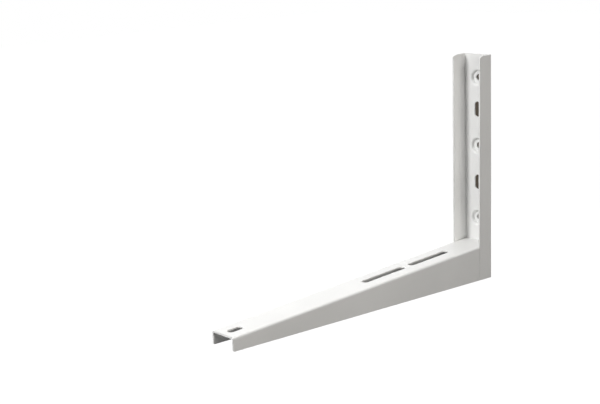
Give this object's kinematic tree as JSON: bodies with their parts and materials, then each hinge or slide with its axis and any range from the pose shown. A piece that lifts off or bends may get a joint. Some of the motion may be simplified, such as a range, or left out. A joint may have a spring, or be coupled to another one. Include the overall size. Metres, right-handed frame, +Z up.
{
  "type": "wall bracket",
  "caption": "Welded steel L bracket for a wall: channel upright with dished bolt holes and slots, and a tapered channel arm with slotted top.",
  "frame": {"origin": "centre of the middle wall hole, in the plane of the wall that the dished holes bear on", "axes": "+X away from the wall along the arm, +Z up along the upright, Y across the bracket"},
  "size_m": [0.454, 0.044, 0.3],
  "materials": {
    "coat": "satin powder coat"
  },
  "bodies": {
    "root": {"upright": "coat", "arm": "coat", "weld_web": "coat", "weld_near": "coat", "weld_far": "coat"}
  },
  "joints": []
}
